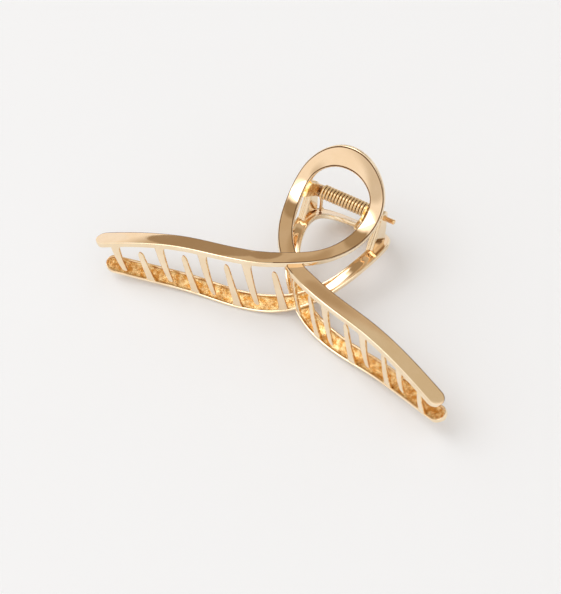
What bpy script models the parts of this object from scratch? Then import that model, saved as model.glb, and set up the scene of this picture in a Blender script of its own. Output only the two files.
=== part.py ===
"""A sprung metal claw clip, 110 mm long, lying on its back half.

Each half is one ribbon, bent like a folded bow: an arm sweeps in from one tip, crosses over
itself and runs round a loop that is the finger lever. Teeth hang from the ribbon's front edge
and two ears inside the loop hold the hinge pin, which carries a torsion spring.
"""

import math

import bmesh
import bpy
import numpy as np
from mathutils import Matrix, Vector

MM = 0.001

# Plan of the right arm and of the right side of the loop (mm): x from the middle plane, y from
# the tips towards the loop. The ribbon's centre line runs through these points.
ARM_PLAN = [(52.4, 0.0), (41.0, 3.8), (29.0, 7.0), (17.0, 9.1), (7.5, 11.9)]
CROSSING_Y = 16.0
LOOP_PLAN = [(7.8, 25.1), (10.4, 31.0), (11.7, 37.0), (10.8, 43.5), (5.8, 47.4)]
LOOP_END_Y = 48.4

# Side profile (mm): height of the ribbon's outer face above the middle plane, along y. The face
# also falls away from the middle plane x = 0 as a parabola.
PROFILE_Y = [0.0, 10.0, 20.0, 30.0, 40.0, 50.0]
PROFILE_Z = [14.9, 12.5, 9.2, 7.2, 9.25, 18.6]
TIP_DROP = 9.5
TIP_DROP_X = 52.4

# The back half sits a little further along the pin, and its jaw is a little lower and twisted
BACK_SHIFT = 0.7
BACK_DROP = 0.9
BACK_TWIST = 0.034

# Ribbon section (mm)
ARM_HALF_WIDTH = 2.45
LOOP_HALF_WIDTH = 2.05
THICKNESS = 1.45
FLOOR = 0.8
LOOP_FLOOR = 1.41
RIM = 0.62
CHANNEL_DRAFT = 0.15
EDGE_BEVEL = 0.35
CROSSING_STEP = 0.5
CROSSING_REACH = 11.0
STEPS_PER_SPAN = 5
TIP_ANGLES = [12, 26, 42, 60, 78]

# Teeth (mm)
TOOTH_COUNT = 8
FIRST_TOOTH_X = -48.0
TOOTH_PITCH = 12.7
TOOTH_ROOT_WIDTH = 2.5
TOOTH_TIP_WIDTH = 1.5
TOOTH_ROOT_THICKNESS = 1.15
TOOTH_TIP_THICKNESS = 0.75
TOOTH_PROUD = 0.12
TOOTH_LEAN = 0.9
TIP_CLEARANCE = 3.6
TIP_CLEARANCE_SLOPE = 0.025

# Hinge (mm): its axis in the plan and profile frame, and the ears that carry the pin
HINGE_Y = 45.0
HINGE_Z = 0.4
PIN_RADIUS = 0.72
PIN_HOLE_RADIUS = 0.8
PIN_LEFT = -13.9
PIN_RIGHT = 15.2
EAR_RADIUS = 1.95
BACK_EARS = ((-12.8, -10.5), (9.7, 12.0))
FRONT_EARS = ((-10.2, -8.5), (8.6, 9.5))
BACK_EAR_FOOT = (36.8, 44.0)
FRONT_EAR_FOOT = (37.0, 41.2)
ROUND_SIDES = 24

# Torsion spring (mm)
COIL_RADIUS = 1.75
WIRE_RADIUS = 0.45
COIL_TURNS = 16
COIL_LEFT = -7.85
COIL_RIGHT = 7.9
POINTS_PER_TURN = 12
LOWER_LEG = [(-7.9, -1.5, -2.4), (-8.5, -1.2, -5.6), (-9.3, -0.9, -9.1), (-9.6, 0.0, -10.25), (-9.6, 0.8, -10.6)]
UPPER_LEG = [(7.9, -1.95, 1.6), (7.9, -5.0, 3.9), (7.9, -8.6, 4.7), (8.3, -9.6, 4.9), (10.2, -9.9, 4.9)]

# Pose of the closed clip on a flat surface
TILT = math.radians(7.0)
HINGE_WORLD_X = -0.35
HINGE_WORLD_Y = 19.46
HINGE_WORLD_Z = 18.59

GOLD = (0.83, 0.62, 0.36)
PALE_GOLD = (0.86, 0.68, 0.44)
DARK_GOLD = (0.62, 0.38, 0.17)


def profile_height(x, y, back):
    """Distance of the outer face from the middle plane at a place in plan, on either half."""
    curve = np.polyfit(PROFILE_Y, PROFILE_Z, len(PROFILE_Y) - 1)
    height = float(np.polyval(curve, y)) - TIP_DROP * (x / TIP_DROP_X) ** 2
    if back:
        height += (BACK_DROP + BACK_TWIST * x) * max(1 - y / HINGE_Y, 0.0)
    return height


def smooth_line(points, steps):
    """A natural cubic spline through the points, with this many samples in each span."""
    points = np.array(points, float)
    count = len(points)
    chords = np.linalg.norm(np.diff(points, axis=0), axis=1)
    system = np.eye(count)
    right = np.zeros_like(points)
    for i in range(1, count - 1):
        before, after = chords[i - 1], chords[i]
        system[i, i - 1 : i + 2] = before, 2 * (before + after), after
        right[i] = 6 * ((points[i + 1] - points[i]) / after - (points[i] - points[i - 1]) / before)
    bend = np.linalg.solve(system, right)
    samples = []
    for i, chord in enumerate(chords):
        for step in range(steps):
            t = step / steps
            a, b = 1 - t, t
            cubic = (a**3 - a) * bend[i] + (b**3 - b) * bend[i + 1]
            samples.append(a * points[i] + b * points[i + 1] + cubic * chord**2 / 6)
    samples.append(points[-1])
    return np.array(samples)


def half_path():
    """Plan points of one strand, from the left tip over the crossing to the end of the loop."""
    arm = [(-x, y) for x, y in ARM_PLAN]
    loop = LOOP_PLAN + [(0.0, LOOP_END_Y)]
    back = [(-x, y) for x, y in reversed(LOOP_PLAN)]
    crossing = [(0.0, CROSSING_Y)]
    whole = smooth_line(arm + crossing + loop + back + crossing, STEPS_PER_SPAN)
    spans = len(arm) + len(loop)
    return whole[: spans * STEPS_PER_SPAN + 1]


def headings(path):
    """Unit directions along a plan path."""
    ways = np.gradient(path, axis=0)
    ways[-1] = (-1.0, 0.0)
    return ways / np.linalg.norm(ways, axis=1)[:, None]


def section(place, way, half_width, lift, floor, back):
    """Ribbon cross-section as ten points, from the left edge of the outer face round."""
    across = np.array([-way[1], way[0]])
    left, right = place + across * half_width, place - across * half_width
    left = np.array([*left, profile_height(*left, back)])
    right = np.array([*right, profile_height(*right, back)])
    middle = (left + right) / 2
    side = (right - left) / (2 * half_width)
    ahead = place + way * 0.1
    behind = place - way * 0.1
    rise = (profile_height(*ahead, back) - profile_height(*behind, back)) / 0.2
    outward = np.cross(side, np.array([*way, rise]))
    outward /= np.linalg.norm(outward)
    bevel = min(EDGE_BEVEL, half_width * 0.4)
    rim = min(RIM, half_width * 0.3)
    inner = half_width - rim
    outline = [
        (-half_width, bevel),
        (bevel - half_width, 0.0),
        (half_width - bevel, 0.0),
        (half_width, bevel),
        (half_width, THICKNESS),
        (inner, THICKNESS),
        (inner - CHANNEL_DRAFT * half_width / 2, floor),
        (CHANNEL_DRAFT * half_width / 2 - inner, floor),
        (-inner, THICKNESS),
        (-half_width, THICKNESS),
    ]
    return [middle + side * over + outward * (lift - depth) for over, depth in outline]


def strand_sections(step, back, side):
    """Sections of one strand; step lifts or lowers it where the strands cross.

    side is -1 for the strand that starts at the left tip and 1 for the one from the right tip.
    """
    path = half_path()
    ways = headings(path)
    flip = np.array([-side, 1.0])
    crossing = len(ARM_PLAN) * STEPS_PER_SPAN
    lengths = np.concatenate([[0], np.cumsum(np.linalg.norm(np.diff(path, axis=0), axis=1))])
    sections = []
    for angle in TIP_ANGLES:
        reach = ARM_HALF_WIDTH * math.cos(math.radians(angle))
        width = ARM_HALF_WIDTH * math.sin(math.radians(angle))
        place = path[0] - ways[0] * reach
        floor = FLOOR if reach < ARM_HALF_WIDTH - RIM else THICKNESS
        sections.append(section(place * flip, ways[0] * flip, width, 0.0, floor, back))
    for i, place in enumerate(path):
        blend = min(max((i - crossing + STEPS_PER_SPAN) / (2 * STEPS_PER_SPAN), 0), 1)
        width = ARM_HALF_WIDTH + (LOOP_HALF_WIDTH - ARM_HALF_WIDTH) * blend
        away = abs(lengths[i] - lengths[crossing]) / CROSSING_REACH
        lift = step * math.cos(math.pi / 2 * away) ** 2 if away < 1 else 0.0
        floor = FLOOR + (LOOP_FLOOR - FLOOR) * min(max((i - crossing) / STEPS_PER_SPAN, 0), 1)
        sections.append(section(place * flip, ways[i] * flip, width, lift, floor, back))
    return sections


def loft(sections, name, origin=(0.0, 0.0, 0.0)):
    """A closed mesh through rings with the same number of points, in metres about the origin."""
    mesh = bpy.data.meshes.new(name)
    model = bmesh.new()
    rings = []
    for ring in sections:
        rings.append([model.verts.new((Vector(point) - Vector(origin)) * MM) for point in ring])
    for ring, following in zip(rings, rings[1:]):
        for i in range(len(ring)):
            j = (i + 1) % len(ring)
            model.faces.new((ring[i], ring[j], following[j], following[i]))
    model.faces.new(list(reversed(rings[0])))
    model.faces.new(rings[-1])
    bmesh.ops.recalc_face_normals(model, faces=model.faces)
    model.to_mesh(mesh)
    model.free()
    return mesh


def front_edge():
    """Plan points and directions of the ribbon's front edge, from the left tip to the right."""
    path = half_path()[: len(ARM_PLAN) * STEPS_PER_SPAN + 1]
    ways = headings(np.vstack([path, path[-1] + (0.0, 0.0)]))[:-1]
    ways[-1] = ways[-2]
    edge = [
        place + np.array([way[1], -way[0]]) * ARM_HALF_WIDTH for place, way in zip(path, ways)
    ]
    left = [(point, way) for point, way in zip(edge, ways) if point[0] < -0.5]
    right = [(point * (-1, 1), way * (1, -1)) for point, way in reversed(left)]
    return left + right


def tooth_sections(x, back):
    """Rings of one tooth, from its root inside the ribbon to its rounded tip."""
    edge = front_edge()
    xs = [point[0] for point, _ in edge]
    y = float(np.interp(x, xs, [point[1] for point, _ in edge]))
    slope = float(np.interp(x, xs, [way[1] / way[0] for _, way in edge]))
    along = np.array([1.0, slope, 0.0]) / math.hypot(1.0, slope)
    inward = np.array([-along[1], along[0], 0.0])
    top = profile_height(x, y, back) - 0.6
    tip = -(profile_height(-x, y, not back) - TIP_CLEARANCE - TIP_CLEARANCE_SLOPE * x)
    rings = []
    for share, narrow in [(0, 1), (0.12, 1), (0.35, 1), (0.6, 1), (0.85, 1), (0.96, 0.9), (1, 0.55)]:
        width = TOOTH_ROOT_WIDTH + (TOOTH_TIP_WIDTH - TOOTH_ROOT_WIDTH) * share**1.1
        thick = TOOTH_ROOT_THICKNESS + (TOOTH_TIP_THICKNESS - TOOTH_ROOT_THICKNESS) * share
        bow = math.sin(math.pi * share) * 0.35
        centre = np.array([x, y, top + (tip - top) * share])
        centre = centre + along * TOOTH_LEAN * share**1.5 - inward * (TOOTH_PROUD + bow)
        half = along * width * narrow / 2
        near = inward * thick * (1 - narrow) * 0.5
        far = inward * thick * (1 + narrow) * 0.5
        rings.append([centre - half + near, centre + half + near, centre + half + far, centre - half + far])
    return rings


def ear_outline(back, x, foot):
    """Outline in (y, z) of an ear: a bar from the ribbon's inner side to a round end on the hinge."""
    sign = -1 if back else 1
    outline = []
    for i in range(ROUND_SIDES // 2 + 1):
        angle = math.pi * i / (ROUND_SIDES // 2)
        y = HINGE_Y - EAR_RADIUS * math.cos(angle)
        outline.append((y, HINGE_Z - sign * EAR_RADIUS * math.sin(angle)))
    for y in reversed(foot):
        outline.append((y, sign * (profile_height(x, y, back) - FLOOR + 0.2)))
    return outline


def weld(mesh):
    """Joins the loose caps and sides that a curve leaves."""
    model = bmesh.new()
    model.from_mesh(mesh)
    bmesh.ops.remove_doubles(model, verts=model.verts, dist=0.00001)
    bmesh.ops.recalc_face_normals(model, faces=model.faces)
    model.to_mesh(mesh)
    model.free()


def plate(name, outline, left, right):
    """A flat outline in (y, z), filled and thickened from left to right along x."""
    curve = bpy.data.curves.new(name, "CURVE")
    curve.dimensions = "2D"
    curve.fill_mode = "BOTH"
    curve.extrude = (right - left) / 2 * MM
    line = curve.splines.new("POLY")
    line.use_cyclic_u = True
    line.points.add(len(outline) - 1)
    for point, (y, z) in zip(line.points, outline):
        point.co = ((y - HINGE_Y) * MM, (z - HINGE_Z) * MM, 0, 1)
    flat = bpy.data.objects.new(name, curve)
    bpy.context.scene.collection.objects.link(flat)
    seen = flat.evaluated_get(bpy.context.evaluated_depsgraph_get())
    mesh = bpy.data.meshes.new_from_object(seen)
    mesh.name = name
    bpy.data.objects.remove(flat)
    weld(mesh)
    upright = Matrix(((0, 0, 1, 0), (1, 0, 0, 0), (0, 1, 0, 0), (0, 0, 0, 1)))
    mesh.transform(Matrix.Translation(((left + right) / 2 * MM, 0, 0)) @ upright)
    return mesh


def add_boolean(target, cutter, operation):
    modifier = target.modifiers.new(f"{operation.lower()}_{cutter.name}", "BOOLEAN")
    modifier.operation = operation
    modifier.solver = "EXACT"
    modifier.object = cutter


def helper(mesh, collection, parent):
    """A hidden object that a Boolean reads."""
    item = bpy.data.objects.new(mesh.name, mesh)
    collection.objects.link(item)
    item.hide_render = True
    item.display_type = "WIRE"
    item.parent = parent
    return item


def cylinder(name, radius, left, right):
    """A closed cylinder along x about the hinge axis."""
    mesh = bpy.data.meshes.new(name)
    model = bmesh.new()
    bmesh.ops.create_cone(
        model, cap_ends=True, segments=ROUND_SIDES, radius1=radius * MM, radius2=radius * MM,
        depth=(right - left) * MM,
        matrix=Matrix.Translation(((left + right) / 2 * MM, 0, 0)) @ Matrix.Rotation(math.pi / 2, 4, "Y"),
    )
    model.to_mesh(mesh)
    model.free()
    return mesh


def material(name, colour, roughness):
    made = bpy.data.materials.new(name)
    made.use_nodes = True
    shader = made.node_tree.nodes["Principled BSDF"]
    shader.inputs["Base Color"].default_value = (*colour, 1)
    shader.inputs["Metallic"].default_value = 1.0
    shader.inputs["Roughness"].default_value = roughness
    return made


def casting(name, parts, cutters, hinge, back, ears, foot):
    """One half of the clip: both strands, the teeth and the ears joined, with the pin hole cut."""
    origin = (0.0, HINGE_Y, HINGE_Z)
    turn = np.array([-1.0, 1.0, -1.0]) if back else np.array([1.0, 1.0, 1.0])
    shift = np.array([BACK_SHIFT if back else 0.0, 0.0, 0.0])

    def placed(sections):
        return [[point * turn + shift for point in ring] for ring in sections]

    over = placed(strand_sections(CROSSING_STEP, back, -1))
    under = placed(strand_sections(-CROSSING_STEP, back, 1))
    half = bpy.data.objects.new(name, loft(over, name, origin))
    parts.objects.link(half)
    half.parent = hinge
    add_boolean(half, helper(loft(under, f"{name}_under_strand", origin), cutters, hinge), "UNION")
    for i in range(TOOTH_COUNT):
        rings = placed(tooth_sections(FIRST_TOOTH_X + i * TOOTH_PITCH, back))
        add_boolean(half, helper(loft(rings, f"{name}_tooth_{i + 1}", origin), cutters, hinge), "UNION")
    outline = ear_outline(back, ears[1][0], foot)
    for word, (left, right) in zip(("left", "right"), ears):
        ear = plate(f"{name}_{word}_ear", outline, left, right)
        add_boolean(half, helper(ear, cutters, hinge), "UNION")
    hole = cylinder(f"{name}_pin_hole", PIN_HOLE_RADIUS, -20.0, 20.0)
    add_boolean(half, helper(hole, cutters, hinge), "DIFFERENCE")
    half.data.materials.append(material(f"{name}_gold_plate", GOLD, 0.12))
    return half


def spring_points():
    """Centre line of the torsion spring about the hinge axis: leg, close turns, leg."""
    coil = []
    count = COIL_TURNS * POINTS_PER_TURN
    for i in range(count + 1):
        share = i / count
        angle = math.pi - 2 * math.pi * COIL_TURNS * share
        x = COIL_LEFT + (COIL_RIGHT - COIL_LEFT) * share
        coil.append((x, COIL_RADIUS * math.cos(angle), COIL_RADIUS * math.sin(angle)))
    return LOWER_LEG[::-1] + coil + UPPER_LEG


def spring(parts, hinge):
    curve = bpy.data.curves.new("torsion_spring", "CURVE")
    curve.dimensions = "3D"
    curve.bevel_depth = WIRE_RADIUS * MM
    curve.bevel_resolution = 2
    curve.use_fill_caps = True
    line = curve.splines.new("POLY")
    points = spring_points()
    line.points.add(len(points) - 1)
    for point, place in zip(line.points, points):
        point.co = (place[0] * MM, place[1] * MM, place[2] * MM, 1)
    coil = bpy.data.objects.new("torsion_spring", curve)
    parts.objects.link(coil)
    coil.parent = hinge
    curve.materials.append(material("spring_gold_plate", DARK_GOLD, 0.25))
    return coil


def main():
    for item in list(bpy.data.objects):
        bpy.data.objects.remove(item)
    parts = bpy.data.collections.new("claw_clip")
    cutters = bpy.data.collections.new("cutters")
    bpy.context.scene.collection.children.link(parts)
    bpy.context.scene.collection.children.link(cutters)
    hinge = bpy.data.objects.new("hinge_axis", None)
    hinge.location = (HINGE_WORLD_X * MM, HINGE_WORLD_Y * MM, HINGE_WORLD_Z * MM)
    hinge.rotation_euler = (TILT, 0, 0)
    parts.objects.link(hinge)
    casting("front_half", parts, cutters, hinge, False, FRONT_EARS, FRONT_EAR_FOOT)
    casting("back_half", parts, cutters, hinge, True, BACK_EARS, BACK_EAR_FOOT)
    pin = bpy.data.objects.new("hinge_pin", cylinder("hinge_pin", PIN_RADIUS, PIN_LEFT, PIN_RIGHT))
    parts.objects.link(pin)
    pin.parent = hinge
    pin.data.shade_smooth()
    pin.data.materials.append(material("pin_gold_plate", PALE_GOLD, 0.2))
    spring(parts, hinge)


main()
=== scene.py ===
import math

import bmesh
import bpy
import numpy as np
from mathutils import Matrix, Vector


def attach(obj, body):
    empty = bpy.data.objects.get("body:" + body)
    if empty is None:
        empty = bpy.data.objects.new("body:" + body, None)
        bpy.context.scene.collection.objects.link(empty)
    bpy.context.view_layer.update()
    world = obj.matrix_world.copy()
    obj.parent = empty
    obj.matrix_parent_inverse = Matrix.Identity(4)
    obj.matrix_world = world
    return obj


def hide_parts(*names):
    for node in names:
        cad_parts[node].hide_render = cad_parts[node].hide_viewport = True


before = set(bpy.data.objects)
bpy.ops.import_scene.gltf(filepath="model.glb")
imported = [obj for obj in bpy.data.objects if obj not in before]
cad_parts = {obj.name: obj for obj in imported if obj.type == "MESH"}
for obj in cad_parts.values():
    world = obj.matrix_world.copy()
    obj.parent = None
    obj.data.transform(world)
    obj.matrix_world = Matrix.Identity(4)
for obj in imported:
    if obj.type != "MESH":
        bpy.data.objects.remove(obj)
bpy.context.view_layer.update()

MM = 0.001

# The closed clip tips forward on its back half; the hinge pin's axis passes through HINGE.
TILT = math.radians(7.0)
LEAN = Matrix.Rotation(TILT, 3, "X")
HINGE = Vector((-0.00035, 0.01946, 0.01859))
HINGE_Y = 45.0
HINGE_Z = 0.4

# Plan and profile of a half (mm), the same numbers as the CAD's
ARM_PLAN = [(52.4, 0.0), (41.0, 3.8), (29.0, 7.0), (17.0, 9.1), (7.5, 11.9)]
CROSSING_Y = 16.0
LOOP_PLAN = [(7.8, 25.1), (10.4, 31.0), (11.7, 37.0), (10.8, 43.5), (5.8, 47.4)]
LOOP_END_Y = 48.4
PROFILE = np.polyfit([0.0, 10.0, 20.0, 30.0, 40.0, 50.0], [14.9, 12.5, 9.2, 7.2, 9.25, 18.6], 5)
TIP_DROP = 9.5
TIP_DROP_X = 52.4
BACK_SHIFT = 0.7
BACK_DROP = 0.9
BACK_TWIST = 0.034
ARM_HALF_WIDTH = 2.45
LOOP_HALF_WIDTH = 2.05
THICKNESS = 1.45
FLOOR = 0.8
LOOP_FLOOR = 1.41
RIM = 0.62
CROSSING_STEP = 0.5
CROSSING_REACH = 11.0
STEPS = 16

# Teeth: eight on each half, along the front edge of the arms
TOOTH_COUNT = 8
FIRST_TOOTH_X = -48.0
TOOTH_PITCH = 12.7
TOOTH_WIDTH = (2.5, 1.5)
TOOTH_THICKNESS = (1.15, 0.75)
TOOTH_SHARES = [0, 0.04, 0.07, 0.1, 0.14, 0.19, 0.27, 0.37, 0.48, 0.6]
TOOTH_SHARES += [0.72, 0.83, 0.9, 0.94, 0.965, 0.985, 0.996, 1.0]
TOOTH_SIDES = 20

# Hinge: ears as (left, right) spans along the pin, the ends of their feet, the pin and the spring
EAR_RADIUS = 1.95
EAR_EDGE = 0.28
PIN_HOLE_RADIUS = 0.8
FRONT_EARS = ((-10.2, -8.5), (8.6, 9.5))
FRONT_EAR_FOOT = (37.0, 41.2)
BACK_EARS = ((-12.8, -10.5), (9.7, 12.0))
BACK_EAR_FOOT = (36.8, 44.0)
PIN_SIDES = 32
COIL_TURNS = 16
COIL_POINTS_PER_TURN = 28
COIL_LEFT = -7.85
COIL_LENGTH = 15.75
COIL_RADIUS = 1.75
WIRE_RADIUS = 0.45

# Material slots; the fourth is a dark material for a painted dark reflection along the back bevels
FACE, EDGE, CHANNEL, PAINTED_DARK_EDGE = 0, 1, 2, 3


def world_point(point):
    """A point of the clip's own frame (mm) in the shared frame (m)."""
    local = Vector((point[0], point[1] - HINGE_Y, point[2] - HINGE_Z)) * MM
    return LEAN @ local + HINGE


def height(x, y, back):
    level = float(np.polyval(PROFILE, y)) - TIP_DROP * (x / TIP_DROP_X) ** 2
    if back:
        level += (BACK_DROP + BACK_TWIST * x) * max(1 - y / HINGE_Y, 0.0)
    return level


def smooth_line(points, steps):
    points = np.array(points, float)
    count = len(points)
    chords = np.linalg.norm(np.diff(points, axis=0), axis=1)
    system = np.eye(count)
    right = np.zeros_like(points)
    for i in range(1, count - 1):
        before, after = chords[i - 1], chords[i]
        system[i, i - 1 : i + 2] = before, 2 * (before + after), after
        right[i] = 6 * ((points[i + 1] - points[i]) / after - (points[i] - points[i - 1]) / before)
    bend = np.linalg.solve(system, right)
    samples = []
    for i, chord in enumerate(chords):
        for step in range(steps):
            t = step / steps
            a, b = 1 - t, t
            cubic = (a**3 - a) * bend[i] + (b**3 - b) * bend[i + 1]
            samples.append(a * points[i] + b * points[i + 1] + cubic * chord**2 / 6)
    samples.append(points[-1])
    return np.array(samples)


def half_path():
    arm = [(-x, y) for x, y in ARM_PLAN]
    loop = LOOP_PLAN + [(0.0, LOOP_END_Y)]
    back = [(-x, y) for x, y in reversed(LOOP_PLAN)]
    crossing = [(0.0, CROSSING_Y)]
    whole = smooth_line(arm + crossing + loop + back + crossing, STEPS)
    return whole[: (len(arm) + len(loop)) * STEPS + 1]


def headings(path):
    ways = np.gradient(path, axis=0)
    ways[-1] = (-1.0, 0.0)
    return ways / np.linalg.norm(ways, axis=1)[:, None]


def corner(centre, radius, start, end, steps):
    """Points on a rounded corner, from one angle to another in degrees."""
    points = []
    for i in range(steps + 1):
        angle = math.radians(start + (end - start) * i / steps)
        points.append((centre[0] + radius * math.cos(angle), centre[1] + radius * math.sin(angle)))
    return points


def ribbon_outline(half_width, bed, dark_edge_sides):
    """Cross-section as (across, depth) with rounded edges, and a kind for the side after each point."""
    w, t = half_width, THICKNESS
    soft = min(0.42, w * 0.4)
    lip = min(0.2, w * 0.12)
    inner = w - min(RIM, w * 0.35)
    fillet = min(0.25, (t - bed) * 0.45, inner * 0.3)
    half = corner((w - soft, soft), soft, -90, 0, 5)
    half += corner((w - lip, t - lip), lip, 0, 90, 3)
    half += corner((inner + lip * 0.7, t - lip * 0.7), lip * 0.7, 90, 180, 2)
    half += [(inner - 0.06, bed + fillet), (inner - 0.06 - fillet * 0.3, bed + fillet * 0.3)]
    half += [(inner - 0.06 - fillet, bed), (inner * 0.4, bed)]
    points = half + [(-x, y) for x, y in reversed(half)]
    bed_kind = CHANNEL if bed < 1.2 else FACE
    kinds = [EDGE] * 12 + [bed_kind] * 9 + [EDGE] * 12 + [FACE]
    # On the marked sides the two faces nearest the top take the dark material: a painted dark reflection
    # on the bevel
    if dark_edge_sides[0]:
        kinds[0] = kinds[1] = PAINTED_DARK_EDGE
    if dark_edge_sides[1]:
        kinds[-2] = kinds[-3] = PAINTED_DARK_EDGE
    return points, kinds


def ribbon_ring(place, way, half_width, lift, bed, dark_edge_sides, back):
    across = np.array([-way[1], way[0]])
    left, right = place + across * half_width, place - across * half_width
    left = np.array([*left, height(*left, back)])
    right = np.array([*right, height(*right, back)])
    middle = (left + right) / 2
    side = (right - left) / (2 * half_width)
    ahead, behind = place + way * 0.1, place - way * 0.1
    rise = (height(*ahead, back) - height(*behind, back)) / 0.2
    outward = np.cross(side, np.array([*way, rise]))
    outward /= np.linalg.norm(outward)
    points, sides = ribbon_outline(half_width, bed, dark_edge_sides)
    return [middle + side * over + outward * (lift - depth) for over, depth in points], sides


def strand(step, back):
    """Rings of one strand from its tip to the loop's end."""
    path = half_path()
    ways = headings(path)
    crossing = len(ARM_PLAN) * STEPS
    lengths = np.concatenate([[0], np.cumsum(np.linalg.norm(np.diff(path, axis=0), axis=1))])
    rings = []
    for i in range(1, 15):
        angle = math.radians(90 * i / 15)
        reach = ARM_HALF_WIDTH * math.cos(angle)
        width = ARM_HALF_WIDTH * math.sin(angle)
        place = path[0] - ways[0] * reach
        bed = FLOOR if reach < ARM_HALF_WIDTH - RIM else THICKNESS - 0.02
        rings.append((place, ways[0], width, 0.0, bed, (False, True)))
    for i, place in enumerate(path):
        blend = min(max((i - crossing + STEPS) / (2 * STEPS), 0), 1)
        width = ARM_HALF_WIDTH + (LOOP_HALF_WIDTH - ARM_HALF_WIDTH) * blend
        away = abs(lengths[i] - lengths[crossing]) / CROSSING_REACH
        lift = step * math.cos(math.pi / 2 * away) ** 2 if away < 1 else 0.0
        bed = FLOOR + (LOOP_FLOOR - FLOOR) * min(max((i - crossing) / STEPS, 0), 1)
        rings.append((place, ways[i], width, lift, bed, (i > crossing - STEPS * 0.6, True)))
    return rings


def skin(model, rings, kinds, cap_start, cap_end, flip):
    """Faces between rings of points, wound so that they face out."""
    made = [[model.verts.new(world_point(p)) for p in ring] for ring in rings]
    count = len(rings[0])
    for row, (ring, following) in enumerate(zip(made, made[1:])):
        for i in range(count):
            j = (i + 1) % count
            corners = (ring[i], ring[j], following[j], following[i])
            face = model.faces.new(tuple(reversed(corners)) if flip else corners)
            face.material_index = kinds[row][i]
            face.smooth = True
    if cap_start:
        face = model.faces.new(made[0] if flip else list(reversed(made[0])))
        face.material_index = EDGE
    if cap_end:
        face = model.faces.new(list(reversed(made[-1])) if flip else made[-1])
        face.material_index = EDGE


def half_turn(points, back):
    if not back:
        return points
    return [(BACK_SHIFT - p[0], p[1], -p[2]) for p in points]


def front_edge():
    path = half_path()[: len(ARM_PLAN) * STEPS + 1]
    ways = np.gradient(path, axis=0)
    ways /= np.linalg.norm(ways, axis=1)[:, None]
    edge = [p + np.array([w[1], -w[0]]) * ARM_HALF_WIDTH for p, w in zip(path, ways)]
    left = [(p, w) for p, w in zip(edge, ways) if p[0] < -0.5]
    right = [(p * (-1, 1), w * (1, -1)) for p, w in reversed(left)]
    return left + right


def tooth(x, back):
    """Rings of one tooth: a flared root, a bowed taper and a rounded tip."""
    edge = front_edge()
    xs = [p[0] for p, _ in edge]
    y = float(np.interp(x, xs, [p[1] for p, _ in edge]))
    slope = float(np.interp(x, xs, [w[1] / w[0] for _, w in edge]))
    along = np.array([1.0, slope, 0.0]) / math.hypot(1.0, slope)
    inward = np.array([-along[1], along[0], 0.0])
    top = height(x, y, back) - 0.75
    tip = -(height(-x, y, not back) - 3.6 - 0.025 * x)
    rings = []
    root_width, tip_width = TOOTH_WIDTH
    root_thick, tip_thick = TOOTH_THICKNESS
    for share in TOOTH_SHARES:
        width = root_width + (tip_width - root_width) * share**1.1
        thick = root_thick + (tip_thick - root_thick) * share
        flare = max(0.0, 1 - abs(share - 0.045) / 0.11) ** 2 * 0.9
        close = 1.0
        if share > 0.9:
            close = math.sqrt(max(0.0, 1 - ((share - 0.9) / 0.101) ** 2))
        bow = math.sin(math.pi * share) * 0.35
        centre = np.array([x, y, top + (tip - top) * share])
        centre = centre + along * (0.9 * share**1.5 + flare * 0.25)
        centre = centre - inward * (0.12 + bow - thick / 2)
        ring = []
        for i in range(TOOTH_SIDES):
            angle = 2 * math.pi * i / TOOTH_SIDES
            c, s = math.cos(angle), math.sin(angle)
            c = math.copysign(abs(c) ** 0.55, c)
            s = math.copysign(abs(s) ** 0.55, s)
            over = c * (width / 2 + flare * 0.5) * close
            ring.append(centre + along * over + inward * s * (thick / 2) * (0.35 + 0.65 * close))
        rings.append(ring)
    return rings


def plate_with_hole(outline, hole_radius, left, right, edge_radius):
    """A filled flat outline in (y, z) with a round hole, thickened along x with softened edges."""
    curve = bpy.data.curves.new("ear", "CURVE")
    curve.dimensions = "2D"
    curve.fill_mode = "BOTH"
    curve.bevel_depth = edge_radius * MM
    curve.bevel_resolution = 2
    curve.offset = -edge_radius * MM
    curve.extrude = ((right - left) / 2 - edge_radius) * MM
    circle = corner((HINGE_Y, HINGE_Z), hole_radius, 0, 360, 32)[:-1]
    for points in (outline, circle):
        line = curve.splines.new("POLY")
        line.use_cyclic_u = True
        line.points.add(len(points) - 1)
        for point, (y, z) in zip(line.points, points):
            point.co = ((y - HINGE_Y) * MM, (z - HINGE_Z) * MM, 0, 1)
    flat = bpy.data.objects.new("ear", curve)
    bpy.context.scene.collection.objects.link(flat)
    mesh = bpy.data.meshes.new_from_object(flat.evaluated_get(bpy.context.evaluated_depsgraph_get()))
    bpy.data.objects.remove(flat)
    upright = Matrix(((0, 0, 1, 0), (1, 0, 0, 0), (0, 1, 0, 0), (0, 0, 0, 1)))
    mesh.transform(Matrix.Translation(((left + right) / 2 * MM, 0, 0)) @ upright)
    mesh.transform(Matrix.Translation(HINGE) @ LEAN.to_4x4())
    return mesh


def ear_outline(back, x, foot):
    """Outline in (y, z) of an ear: a bar from the ribbon's inner side to a round end on the hinge."""
    sign = -1 if back else 1
    outline = []
    for i in range(25):
        angle = math.pi * i / 24
        y = HINGE_Y - EAR_RADIUS * math.cos(angle)
        outline.append((y, HINGE_Z - sign * EAR_RADIUS * math.sin(angle)))
    for y in reversed(foot):
        outline.append((y, sign * (height(x, y, back) - FLOOR + 0.2)))
    return outline


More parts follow.
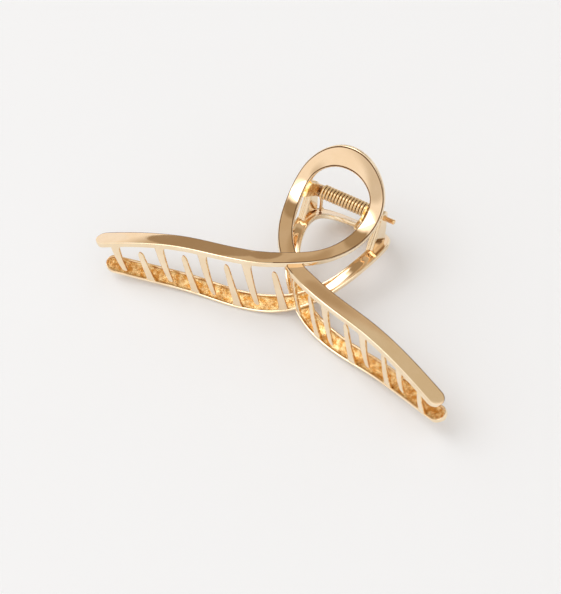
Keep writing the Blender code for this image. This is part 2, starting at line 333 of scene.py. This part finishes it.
def half(name, back, ears, foot):
    model = bmesh.new()
    for step, side in ((CROSSING_STEP, -1), (-CROSSING_STEP, 1)):
        flip = np.array([-side, 1.0])
        rings, kinds = [], []
        for place, way, width, lift, bed, dark_edge_sides in strand(step, back):
            if side == 1:
                dark_edge_sides = dark_edge_sides[::-1]
            ring, sides = ribbon_ring(place * flip, way * flip, width, lift, bed, dark_edge_sides, back)
            rings.append(half_turn(ring, back))
            kinds.append(sides)
        skin(model, rings, kinds, True, False, side == 1)
    bmesh.ops.remove_doubles(model, verts=model.verts, dist=0.000002)
    # Painted shade: the tooth sides facing away from the key light take the darker channel material
    shaded_flank_sides = (8, 9, 10, 11) if back else (18, 19, 0, 1)
    flanks = [CHANNEL if i in shaded_flank_sides else EDGE for i in range(TOOTH_SIDES)]
    for i in range(TOOTH_COUNT):
        rings = [half_turn(r, back) for r in tooth(FIRST_TOOTH_X + TOOTH_PITCH * i, back)]
        skin(model, rings, [flanks] * len(rings), True, True, False)
    for left, right in ears:
        outline = ear_outline(back, ears[1][0], foot)
        ear = plate_with_hole(outline, PIN_HOLE_RADIUS, left, right, EAR_EDGE)
        first = len(model.faces)
        model.from_mesh(ear)
        model.faces.ensure_lookup_table()
        for face in model.faces[first:]:
            face.material_index = EDGE if back else CHANNEL
            face.smooth = True
    bmesh.ops.recalc_face_normals(model, faces=model.faces)
    mesh = bpy.data.meshes.new(name)
    model.to_mesh(mesh)
    model.free()
    mesh.set_sharp_from_angle(angle=math.radians(42))
    piece = bpy.data.objects.new(name, mesh)
    bpy.context.scene.collection.objects.link(piece)
    return piece


def node_tree(material):
    material.use_nodes = True
    tree = material.node_tree
    return tree, tree.nodes["Principled BSDF"]


def add(tree, kind, **settings):
    node = tree.nodes.new(kind)
    for key, value in settings.items():
        setattr(node, key, value)
    return node


def noise(tree, where, scale, detail, roughness=0.5):
    node = add(tree, "ShaderNodeTexNoise")
    node.inputs["Scale"].default_value = scale
    node.inputs["Detail"].default_value = detail
    node.inputs["Roughness"].default_value = roughness
    tree.links.new(where, node.inputs["Vector"])
    return node.outputs["Fac"]


def bump(tree, height_output, distance, normal=None):
    node = add(tree, "ShaderNodeBump")
    node.inputs["Strength"].default_value = 1.0
    node.inputs["Distance"].default_value = distance
    tree.links.new(height_output, node.inputs["Height"])
    if normal:
        tree.links.new(normal, node.inputs["Normal"])
    return node.outputs["Normal"]


def gold(name, light, deep, roughness, wave, grain, patch=120.0, spread=0.12, crevice_shade=None):
    """Gold plate: a drift of colour, a wavy polish and a fine grain.

    wave and grain are in metres. With a shade colour given, corners and gaps darken to it as painted
    shade.
    """
    material = bpy.data.materials.new(name)
    tree, shader = node_tree(material)
    link = tree.links.new
    where = add(tree, "ShaderNodeTexCoord").outputs["Object"]
    tint = add(tree, "ShaderNodeValToRGB")
    tint.color_ramp.elements[0].position = 0.5 - spread
    tint.color_ramp.elements[0].color = (*deep, 1)
    tint.color_ramp.elements[1].position = 0.5 + spread
    tint.color_ramp.elements[1].color = (*light, 1)
    link(noise(tree, where, patch, 8, 0.65), tint.inputs["Fac"])
    colour = tint.outputs["Color"]
    if crevice_shade:
        # Painted shade: an occlusion mask darkens corners, creases and gaps toward the shade colour
        corner_shade = add(tree, "ShaderNodeAmbientOcclusion", samples=8)
        corner_shade.inputs["Distance"].default_value = 0.0009
        crevice_shade_mix = add(tree, "ShaderNodeMix", data_type="RGBA")
        reach = add(tree, "ShaderNodeMapRange")
        reach.inputs["From Min"].default_value = 0.25
        reach.inputs["From Max"].default_value = 0.75
        link(corner_shade.outputs["AO"], reach.inputs["Value"])
        link(reach.outputs["Result"], crevice_shade_mix.inputs[0])
        crevice_shade_mix.inputs[6].default_value = (*crevice_shade, 1)
        link(colour, crevice_shade_mix.inputs[7])
        colour = crevice_shade_mix.outputs[2]
    link(colour, shader.inputs["Base Color"])
    shader.inputs["Metallic"].default_value = 1.0
    rough = add(tree, "ShaderNodeMapRange")
    rough.inputs["To Min"].default_value = roughness * 0.7
    rough.inputs["To Max"].default_value = roughness * 1.4
    link(noise(tree, where, 300, 4), rough.inputs["Value"])
    link(rough.outputs["Result"], shader.inputs["Roughness"])
    first = bump(tree, noise(tree, where, 500, 2), wave)
    second = bump(tree, noise(tree, where, 2400, 4, 0.6), grain, first)
    link(second, shader.inputs["Normal"])
    return material


LIGHT = (0.97, 0.73, 0.49)
DEEP = (0.94, 0.69, 0.44)
face_gold = gold("polished_gold_plate", LIGHT, DEEP, 0.05, 0.000004, 0.0000016)
edge_gold = gold("gold_plate_edges", (0.98, 0.82, 0.60), (0.93, 0.74, 0.50), 0.11, 0.000012, 0.000002)
cast_gold = gold(
    "gold_plate_channel",
    (0.95, 0.72, 0.38),
    (0.68, 0.33, 0.07),
    0.24,
    0.00007,
    0.00008,
    patch=760.0,
    spread=0.08,
    # painted shade colour for the channel's corners and creases
    crevice_shade=(0.34, 0.15, 0.04),
)
# Dark brown gold for the back bevels: a painted dark reflection of the surroundings
painted_dark_edge_gold = gold(
    "gold_plate_painted_dark_edge", (0.28, 0.15, 0.06), (0.12, 0.05, 0.02), 0.30, 0.00001, 0.000004, 260.0
)
wire_gold = gold(
    "spring_wire_gold",
    (0.94, 0.72, 0.44),
    (0.84, 0.58, 0.30),
    0.10,
    0.00001,
    0.000002,
    # painted shade colour for the gaps between the coil's turns
    crevice_shade=(0.22, 0.08, 0.03),
)
pin_gold = gold("pin_gold", (0.93, 0.66, 0.38), (0.84, 0.56, 0.28), 0.14, 0.00001, 0.000003)

for name, back, ears, foot in (
    ("front_half", False, FRONT_EARS, FRONT_EAR_FOOT),
    ("back_half", True, BACK_EARS, BACK_EAR_FOOT),
):
    piece = half(name + "_casting", back, ears, foot)
    for material in (face_gold, edge_gold, cast_gold, painted_dark_edge_gold):
        piece.data.materials.append(material)
    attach(piece, "back" if back else "front")
    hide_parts(name)

# Pin with shallow grooves at its free end
pin = bmesh.new()
pin_line = [(-13.9, 0.5), (-13.75, 0.66), (-13.5, 0.72), (12.6, 0.72)]
for i in range(5):
    start = 12.7 + i * 0.42
    pin_line += [(start, 0.72), (start + 0.08, 0.6), (start + 0.16, 0.6), (start + 0.24, 0.72)]
pin_line += [(14.95, 0.72), (15.12, 0.66), (15.2, 0.5)]
rings = []
for x, r in pin_line:
    circle = [2 * math.pi * k / PIN_SIDES for k in range(PIN_SIDES)]
    rings.append([(x, HINGE_Y + r * math.cos(a), HINGE_Z + r * math.sin(a)) for a in circle])
skin(pin, rings, [[0] * PIN_SIDES] * len(rings), True, True, False)
bmesh.ops.recalc_face_normals(pin, faces=pin.faces)
pin_mesh = bpy.data.meshes.new("hinge_pin_rod")
pin.to_mesh(pin_mesh)
pin.free()
pin_mesh.set_sharp_from_angle(angle=math.radians(35))
pin_mesh.materials.append(pin_gold)
rod = bpy.data.objects.new("hinge_pin_rod", pin_mesh)
bpy.context.scene.collection.objects.link(rod)
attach(rod, "back")
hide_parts("hinge_pin")


# Torsion spring: close turns of round wire with a leg to each half
coil_points = [(-9.6, 0.8, -10.6), (-9.6, 0.4, -10.5), (-9.6, 0.0, -10.25), (-9.5, -0.5, -9.75)]
coil_points += [(-9.3, -0.9, -9.1), (-8.5, -1.2, -5.6), (-7.9, -1.5, -2.4)]
coil_count = COIL_TURNS * COIL_POINTS_PER_TURN
for i in range(coil_count + 1):
    share = i / coil_count
    angle = math.pi - 2 * math.pi * COIL_TURNS * share
    x = COIL_LEFT + COIL_LENGTH * share
    coil_points.append((x, COIL_RADIUS * math.cos(angle), COIL_RADIUS * math.sin(angle)))
coil_points += [(7.9, -1.95, 1.6), (7.9, -5.0, 3.9), (7.9, -8.6, 4.7), (8.3, -9.6, 4.9), (10.2, -9.9, 4.9)]
wire = bpy.data.curves.new("torsion_spring_wire", "CURVE")
wire.dimensions = "3D"
wire.bevel_depth = WIRE_RADIUS * MM
wire.bevel_resolution = 4
wire.use_fill_caps = True
line = wire.splines.new("POLY")
line.points.add(len(coil_points) - 1)
for point, (x, y, z) in zip(line.points, coil_points):
    point.co = (*world_point((x, y + HINGE_Y, z + HINGE_Z)), 1)
wire.materials.append(wire_gold)
spring = bpy.data.objects.new("torsion_spring_wire", wire)
bpy.context.scene.collection.objects.link(spring)
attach(spring, "back")
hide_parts("torsion_spring")

# Studio: floor, surroundings, softbox
floor_model = bmesh.new()
bmesh.ops.create_grid(floor_model, x_segments=1, y_segments=1, size=3.0)
floor_mesh = bpy.data.meshes.new("floor")
floor_model.to_mesh(floor_mesh)
floor_model.free()
floor = bpy.data.objects.new("floor", floor_mesh)
bpy.context.scene.collection.objects.link(floor)
floor_material = bpy.data.materials.new("pale_floor")
_, floor_shader = node_tree(floor_material)
floor_shader.inputs["Base Color"].default_value = (0.925, 0.94, 0.97, 1)
floor_shader.inputs["Roughness"].default_value = 0.9
floor_shader.inputs["Specular IOR Level"].default_value = 0.1
floor.data.materials.append(floor_material)


def direction(azimuth, elevation):
    a, e = math.radians(azimuth), math.radians(elevation)
    return Vector((math.sin(a) * math.cos(e), math.cos(a) * math.cos(e), math.sin(e)))


def surroundings():
    """A pale room with a few warm, darker regions, set by direction."""
    world = bpy.data.worlds.new("studio")
    bpy.context.scene.world = world
    world.use_nodes = True
    tree = world.node_tree
    link = tree.links.new
    background = tree.nodes["Background"]
    where = add(tree, "ShaderNodeTexCoord").outputs["Generated"]
    base = add(tree, "ShaderNodeRGB")
    base.outputs[0].default_value = (1.0, 0.99, 0.98, 1)
    colour = base.outputs[0]
    regions = [
        # azimuth, elevation, inner and outer radius in degrees, colour
        (-30, 45, 26, 34, (0.57, 0.49, 0.38)),
        (20, 50, 13, 20, (0.63, 0.59, 0.49)),
        (-41, 24, 9.6, 10.6, (0.37, 0.29, 0.20)),
        (-62, 14, 8, 9, (0.97, 1.0, 1.05)),
        (-14.5, 37, 1, 10, (0.45, 0.36, 0.25)),
        (-56, 68, 17, 23, (0.38, 0.30, 0.20)),
        (-168, 28, 6, 18, (0.70, 0.67, 0.62)),
        (-122, 64, 15, 24, (1.7, 1.7, 1.68)),
        (0, 3, 14, 19, (0.16, 0.11, 0.07)),
        (62, 0, 30, 46, (0.24, 0.17, 0.11)),
    ]
    for azimuth, elevation, inner, outer, tone in regions:
        dot = add(tree, "ShaderNodeVectorMath", operation="DOT_PRODUCT")
        dot.inputs[1].default_value = direction(azimuth, elevation)
        link(where, dot.inputs[0])
        soft = add(tree, "ShaderNodeMapRange", interpolation_type="SMOOTHSTEP")
        soft.inputs["From Min"].default_value = math.cos(math.radians(outer))
        soft.inputs["From Max"].default_value = math.cos(math.radians(inner))
        link(dot.outputs["Value"], soft.inputs["Value"])
        mix = add(tree, "ShaderNodeMix", data_type="RGBA")
        link(soft.outputs["Result"], mix.inputs[0])
        link(colour, mix.inputs[6])
        mix.inputs[7].default_value = (*tone, 1)
        colour = mix.outputs[2]
    link(colour, background.inputs["Color"])
    background.inputs["Strength"].default_value = 1.0


def softbox(name, azimuth, elevation, distance, size, power):
    lamp = bpy.data.lights.new(name, "AREA")
    lamp.shape = "RECTANGLE"
    lamp.size, lamp.size_y = size
    lamp.energy = power
    light = bpy.data.objects.new(name, lamp)
    light.location = direction(azimuth, elevation) * distance
    light.rotation_euler = direction(azimuth, elevation).to_track_quat("Z", "Y").to_euler()
    bpy.context.scene.collection.objects.link(light)


surroundings()
softbox("key", -122, 64, 1.4, (0.8, 0.7), 2.2)

# Camera: close, from the front right, looking down at the crossing
camera_data = bpy.data.cameras.new("camera")
camera_data.sensor_fit = "HORIZONTAL"
camera_data.sensor_width = 36.0
camera_data.lens = 97.5
camera_data.shift_x = -0.0326
camera_data.shift_y = -0.0409
camera = bpy.data.objects.new("camera", camera_data)
right = Vector((0.8539, 0.5132, -0.0865))
up = Vector((-0.3950, 0.7472, 0.5344))
back = Vector((0.3389, -0.4222, 0.8408))
axes = Matrix((LEAN @ right, LEAN @ up, LEAN @ back)).transposed()
eye = Vector((0, 18, 0)) + back * 418.8
camera.matrix_world = Matrix.Translation(world_point(eye)) @ axes.to_4x4()
bpy.context.scene.collection.objects.link(camera)
bpy.context.scene.camera = camera
bpy.context.scene.view_settings.view_transform = "Standard"
